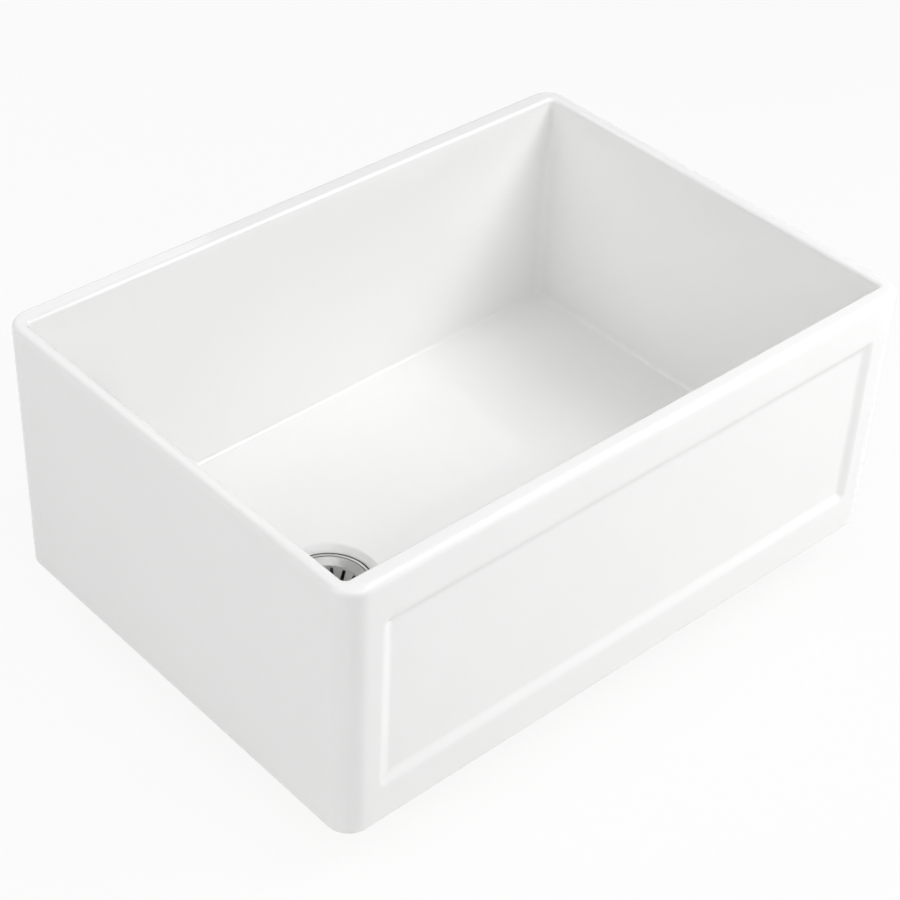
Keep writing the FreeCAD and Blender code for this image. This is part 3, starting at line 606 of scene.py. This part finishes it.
GROOVE_RADIUS = BUSH_BORE + GRIP_WIRE + FIT_GAP
NECK_RADIUS = GROOVE_RADIUS + BUSH_WALL


def basket_wall(height):
    """Radius of the basket's inner face on the straight wall between its two bends."""
    return BASE_RADIUS + (height - BASKET_FLOOR) / (BEND_LEVEL - BASKET_FLOOR) * BASKET_TAPER


def basket_surface(across=8, along=14, rings=6):
    """The basket's inner face: a rim and a base of revolution, and between them a cell of wall for each slot.

    A cell is a ring of lines from the slot's edge to the cell's own edge. The slot's edge is two half circles
    joined by straight sides, as seen along the radius, so its angle is the arc sine of the place across over
    the wall's radius. A half circle faces each short edge of the cell, and each straight side a long one.
    """
    slot_low, slot_high = BASKET_FLOOR + SLOT_BASE_MARGIN, BEND_LEVEL - SLOT_TOP_MARGIN
    cell_low, cell_high = slot_low - SLOT_CELL_MARGIN, slot_high + SLOT_CELL_MARGIN
    half_cell = np.pi / SLOT_COUNT
    rim = rounded_outline([
        (RIM_TIP, RIM_TIP - BASKET_FACE, 0),
        (BEND_RADIUS, BEND_LEVEL, BEND_ROUND + BASKET_SHEET),
        (basket_wall(cell_high), cell_high, 0),
    ], closed=False, steps=BEND_STEPS)
    base = rounded_outline([
        (basket_wall(cell_low), cell_low, 0),
        (BASE_RADIUS, BASKET_FLOOR, BEND_ROUND),
        (NECK_RADIUS + FIT_GAP, BASKET_FLOOR, 0),
    ], closed=False, steps=BEND_STEPS)
    angles = stations((-half_cell, 2 * np.pi - half_cell, SLOT_COUNT * across))
    half_turn = np.pi * stations((0, 1, across))
    low_centre, high_centre = slot_low + SLOT_WIDTH / 2, slot_high - SLOT_WIDTH / 2
    sweep = np.concatenate([np.pi + half_turn, np.zeros(along), half_turn, np.full(along, np.pi)])
    up = stations((0, 1, along))
    rise = np.concatenate([np.zeros(across), up, np.ones(across), 1 - up])
    slot_height = low_centre + (high_centre - low_centre) * rise + SLOT_WIDTH / 2 * np.sin(sweep)
    slot_angle = np.arcsin(SLOT_WIDTH / 2 * np.cos(sweep) / basket_wall(slot_height))
    side = stations((-half_cell, half_cell, across))
    cell_angle = np.concatenate([side, np.full(along, half_cell), -side, np.full(along, -half_cell)])
    cell_height = cell_low + (cell_high - cell_low) * rise
    share = np.linspace(0, 1, rings)[:, None]
    height = slot_height * (1 - share) + cell_height * share
    angle = slot_angle * (1 - share) + cell_angle * share
    cell = np.stack([basket_wall(height), height], axis=-1)
    turns = np.arange(SLOT_COUNT) * 2 * half_cell
    return [turned(rim, angles=angles), turned(base, angles=angles)] + [
        turned(cell, angles=angle + turn) for turn in turns]


basket = add_piece("basket_steel", "basket", "basket_shell", "polished_steel", polished_steel,
                   *basket_surface(), close_rows=False)
sheet = basket.modifiers.new("sheet", "SOLIDIFY")
sheet.thickness = BASKET_SHEET
sheet.offset = -1
sheet.use_even_offset = True
edge_break = basket.modifiers.new("edge_break", "BEVEL")
edge_break.width = SHEET_EDGE
edge_break.segments = SHEET_EDGE_STEPS
edge_break.limit_method = "ANGLE"
basket.modifiers.move(0, len(basket.modifiers) - 1)

# Spindle bush and grip ring: a plastic bush snapped into the basket's base, and a rubber ring in its groove
# that holds the spindle wherever it is pushed.
BUSH_COLLAR_RADIUS, BUSH_BOSS_RADIUS = NECK_RADIUS + 0.0009, NECK_RADIUS + 0.001
BUSH_FLANGE_RADIUS, BUSH_FLANGE_TOP = NECK_RADIUS + 0.0025, BASKET_FLOOR + 0.0015
GROOVE_ROUND, MOUTH_ROUND, COLLAR_ROUND = 0.0001, 0.0003, 0.0005
BUSH_DARK, BUSH_LIGHT = (0.05, 0.05, 0.054, 1), (0.075, 0.075, 0.08, 1)
GRIP_STEPS = 24
bush_low, bush_high = levels("spindle_bush")
grip_low, grip_high = levels("grip_ring")
groove_low, groove_high = grip_low - FIT_GAP, grip_high + FIT_GAP
bush_outline = rounded_outline([
    (BUSH_BORE, bush_low, TINY_ROUND),
    (BUSH_COLLAR_RADIUS, bush_low, COLLAR_ROUND),
    (BUSH_COLLAR_RADIUS, BASKET_BOTTOM, TINY_ROUND),
    (NECK_RADIUS, BASKET_BOTTOM, GROOVE_ROUND),
    (NECK_RADIUS, BASKET_FLOOR, GROOVE_ROUND),
    (BUSH_FLANGE_RADIUS, BASKET_FLOOR, TINY_ROUND),
    (BUSH_FLANGE_RADIUS, BUSH_FLANGE_TOP, COLLAR_ROUND),
    (BUSH_BOSS_RADIUS, BUSH_FLANGE_TOP, COLLAR_ROUND),
    (BUSH_BOSS_RADIUS, bush_high, COLLAR_ROUND),
    (BUSH_BORE, bush_high, MOUTH_ROUND),
    (BUSH_BORE, groove_high, GROOVE_ROUND),
    (GROOVE_RADIUS, groove_high, GROOVE_ROUND),
    (GROOVE_RADIUS, groove_low, GROOVE_ROUND),
    (BUSH_BORE, groove_low, GROOVE_ROUND),
])
add_piece("spindle_bush_plastic", "basket", "spindle_bush", "bush_plastic",
          plastic("dark_grey_plastic", BUSH_DARK, BUSH_LIGHT), turned(bush_outline, columns=96))
sweep = np.radians(stations((0, 360, GRIP_STEPS)))
grip_outline = np.stack([BUSH_BORE + GRIP_WIRE / 2 * (1 + np.cos(sweep)),
                         (grip_low + grip_high) / 2 + GRIP_WIRE / 2 * np.sin(sweep)], axis=1)
add_piece("grip_ring_rubber", "basket", "grip_ring", "seal_rubber", seal_rubber,
          turned(grip_outline, columns=72))

# Stopper: a steel spindle with a threaded stud, which carries a plate, a rubber disc, a washer and a nut
# below the basket and a turned knob above it. Pushed down, the disc closes the outlet.
STUD_STEP, STUD_PITCH, STUD_DEPTH = 0.0005, 0.0008, 0.0004
STUD_RADIUS = SPINDLE_RADIUS - STUD_STEP
STUD_HOLE = STUD_RADIUS + FIT_GAP
STUD_COLUMNS = 48
PLATE_RADIUS, PLATE_EDGE = 0.015, 0.0003
DISC_OVERLAP, DISC_EDGE = 0.0045, 0.0008
DISC_RADIUS = TAIL_BORE + DISC_OVERLAP
SEAL_WASHER_RADIUS, SEAL_WASHER_EDGE = 0.007, 0.0002
SEAL_NUT_FLATS, SEAL_NUT_CORNER_BREAK = 0.008, 0.0002
spindle_low, spindle_high = levels("spindle")
stud_top = levels("backing_plate")[1]
spindle_outline = rounded_outline([
    (0, spindle_low, 0),
    (STUD_RADIUS, spindle_low, FINE_ROUND),
    (STUD_RADIUS, stud_top, GROOVE_ROUND),
    (SPINDLE_RADIUS, stud_top, TINY_ROUND),
    (SPINDLE_RADIUS, spindle_high, TINY_ROUND),
    (0, spindle_high, 0),
], closed=False)
spindle_outline = divided(spindle_outline, STUD_PITCH / THREAD_SAMPLES, (STUD_RADIUS,))
spindle_outline = threaded(spindle_outline, STUD_RADIUS, spindle_low, stud_top, STUD_PITCH, STUD_DEPTH,
                           STUD_COLUMNS)
add_piece("spindle_steel", "stopper", "spindle", "polished_steel", polished_steel,
          turned(spindle_outline, STUD_COLUMNS), close_rows=False)

for name, node, slot, material, radius, edge in (
    ("backing_plate_steel", "backing_plate", "polished_steel", polished_steel, PLATE_RADIUS, PLATE_EDGE),
    ("stopper_disc_rubber", "stopper_seal", "seal_rubber", seal_rubber, DISC_RADIUS, DISC_EDGE),
    ("seal_washer_steel", "seal_washer", "polished_steel", polished_steel,
     SEAL_WASHER_RADIUS, SEAL_WASHER_EDGE),
):
    ring = flat_ring(STUD_HOLE, radius, *levels(node), edge)
    add_piece(name, "stopper", node, slot, material, turned(ring, columns=96))
seal_nut = hexagon_nut(STUD_HOLE, SEAL_NUT_FLATS, *levels("seal_nut"), SEAL_NUT_CORNER_BREAK, columns=72)
add_piece("seal_nut_steel", "stopper", "seal_nut", "polished_steel", polished_steel, seal_nut)

KNOB_RADIUS, KNOB_NECK, KNOB_WAIST, KNOB_DISH = 0.0085, 0.005, 0.0007, 0.0004
KNOB_DISH_EDGE, KNOB_DISH_FOOT = 0.7 * KNOB_RADIUS, 0.6 * KNOB_RADIUS
KNOB_ROUND, KNOB_WAIST_ROUND, KNOB_DISH_ROUND = 0.0015, 0.004, 0.001
KNOB_STEPS = 7
knob_low, knob_high = levels("knob")
knob_middle = (knob_low + knob_high) / 2
knob_outline = rounded_outline([
    (0, spindle_high, 0),
    (BUSH_BORE, spindle_high, TINY_ROUND),
    (BUSH_BORE, knob_low, TINY_ROUND),
    (KNOB_NECK, knob_low, MOUTH_ROUND),
    ((KNOB_NECK + KNOB_RADIUS) / 2 - KNOB_WAIST, (knob_low + knob_middle) / 2 + KNOB_WAIST, KNOB_WAIST_ROUND),
    (KNOB_RADIUS, knob_middle, KNOB_ROUND),
    (KNOB_RADIUS, knob_high, KNOB_ROUND),
    (KNOB_DISH_EDGE, knob_high, KNOB_DISH_ROUND),
    (KNOB_DISH_FOOT, knob_high - KNOB_DISH, KNOB_DISH_ROUND),
    (0, knob_high - KNOB_DISH, 0),
], closed=False, steps=KNOB_STEPS)
add_piece("knob_steel", "stopper", "knob", "polished_steel", polished_steel,
          turned(knob_outline, columns=96), close_rows=False)

# Floor and backdrop: one sheet of white paper at the level of the outlet tail's end, wide enough to fill the
# view. To the camera it is mostly plain white, and the rest of it keeps the sink's shadow.
PAPER_HALF = 8.0
PAPER_WHITE, PAPER_GREY = (1, 1, 1, 1), (0.8, 0.8, 0.8, 1)
PAPER_PLAIN = 0.9


def seen_ray(tree):
    """1 for a ray from the camera or from a shiny or clear surface, and 0 for one that only brings light."""
    path = put(tree, "ShaderNodeLightPath", {}).outputs
    seen = {0: path["Is Camera Ray"], 1: path["Is Glossy Ray"]}
    seen = put(tree, "ShaderNodeMath", seen, operation="MAXIMUM").outputs[0]
    seen = {0: seen, 1: path["Is Transmission Ray"]}
    return put(tree, "ShaderNodeMath", seen, operation="MAXIMUM").outputs[0]


def white_paper():
    """Matt paper, which any ray that is seen finds mixed with an even white."""
    material = bpy.data.materials.new("white_paper")
    material.use_nodes = True
    tree = material.node_tree
    plain = put(tree, "ShaderNodeMath", {0: seen_ray(tree), 1: PAPER_PLAIN}, operation="MULTIPLY").outputs[0]
    matt = put(tree, "ShaderNodeBsdfDiffuse", {"Color": PAPER_GREY}).outputs["BSDF"]
    white = put(tree, "ShaderNodeEmission", {"Color": PAPER_WHITE, "Strength": 1.0}).outputs["Emission"]
    mixed = put(tree, "ShaderNodeMixShader", {"Fac": plain, 1: matt, 2: white}).outputs["Shader"]
    tree.links.new(mixed, tree.nodes["Material Output"].inputs["Surface"])
    return material


paper_corners = np.array([[[-1, -1], [1, -1]], [[-1, 1], [1, 1]]]) * PAPER_HALF
paper = skin("studio_floor", at_level(paper_corners, waste_low[2]))
studio_floor = bpy.data.objects.new("studio_floor", paper)
bpy.context.collection.objects.link(studio_floor)
studio_floor.data.materials.append(white_paper())

# Studio light: a white room, which is only seen and lights nothing, and square soft lamps round the sink that
# light it. A lamp is given by its bearing and rise in degrees, its width in metres and its watts.
LAMP_DISTANCE = 2.2
LAMP_TARGET = np.array([0, 0, 0.15])
world = bpy.data.worlds.new("studio")
world.use_nodes = True
bpy.context.scene.world = world
room = world.node_tree.nodes["Background"].inputs
room["Color"].default_value = (1, 1, 1, 1)
world.node_tree.links.new(seen_ray(world.node_tree), room["Strength"])


def facing(back):
    """Axes across, up and back of a thing that looks away from the unit vector back, with its sides level."""
    across = np.cross((0, 0, 1), back)
    across = across / np.linalg.norm(across)
    return across, np.cross(back, across), back


def stand(thing, place, axes):
    """Puts a lamp or a camera into the scene at a place, turned to its axes."""
    turn = Matrix(np.stack(axes, axis=1).tolist()).to_4x4()
    thing.matrix_world = Matrix.Translation(place) @ turn
    bpy.context.collection.objects.link(thing)


for name, bearing, rise, width, watts in (
    ("key_lamp", -36, 48, 1.0, 18.8),
    ("front_key_lamp", -56, 44, 1.4, 8.7),
    ("small_key_lamp", -52, 38, 0.3, 2),
    ("low_right_lamp", -34, 1, 0.7, 12),
    ("front_lamp", -90, 28, 1.2, 7.4),
    ("front_left_lamp", -140, 48, 2.4, 17.2),
    ("left_lamp", 180, 5, 1.2, 11),
    ("back_left_lamp", 150, 48, 2.0, 11.6),
    ("back_lamp", 90, 32, 2.0, 12.7),
):
    lamp = bpy.data.lights.new(name, "AREA")
    lamp.size = width
    lamp.energy = watts
    bearing, rise = np.radians((bearing, rise))
    back = np.array([np.cos(bearing) * np.cos(rise), np.sin(bearing) * np.cos(rise), np.sin(rise)])
    stand(bpy.data.objects.new(name, lamp), LAMP_TARGET + LAMP_DISTANCE * back, facing(back))

# Camera: it stands where the edges of the sink in the photograph converge to, with the same small tilt, and
# its lens is as long as their perspective asks.
CAMERA_PLACE = (-1.0938, -1.1418, 1.3563)
CAMERA_BEARING, CAMERA_RISE, CAMERA_TILT = np.radians((-43.545, 38.49, 2.767))
CAMERA_LENS = 89.17
back = np.array([np.sin(CAMERA_BEARING) * np.cos(CAMERA_RISE),
                 -np.cos(CAMERA_BEARING) * np.cos(CAMERA_RISE), np.sin(CAMERA_RISE)])
across, upward, back = facing(back)
tilted_across = np.cos(CAMERA_TILT) * across + np.sin(CAMERA_TILT) * upward
tilted_upward = np.cos(CAMERA_TILT) * upward - np.sin(CAMERA_TILT) * across
camera = bpy.data.objects.new("camera", bpy.data.cameras.new("camera"))
camera.data.lens = CAMERA_LENS
stand(camera, CAMERA_PLACE, (tilted_across, tilted_upward, back))
bpy.context.scene.camera = camera
bpy.context.scene.view_settings.view_transform = "Standard"
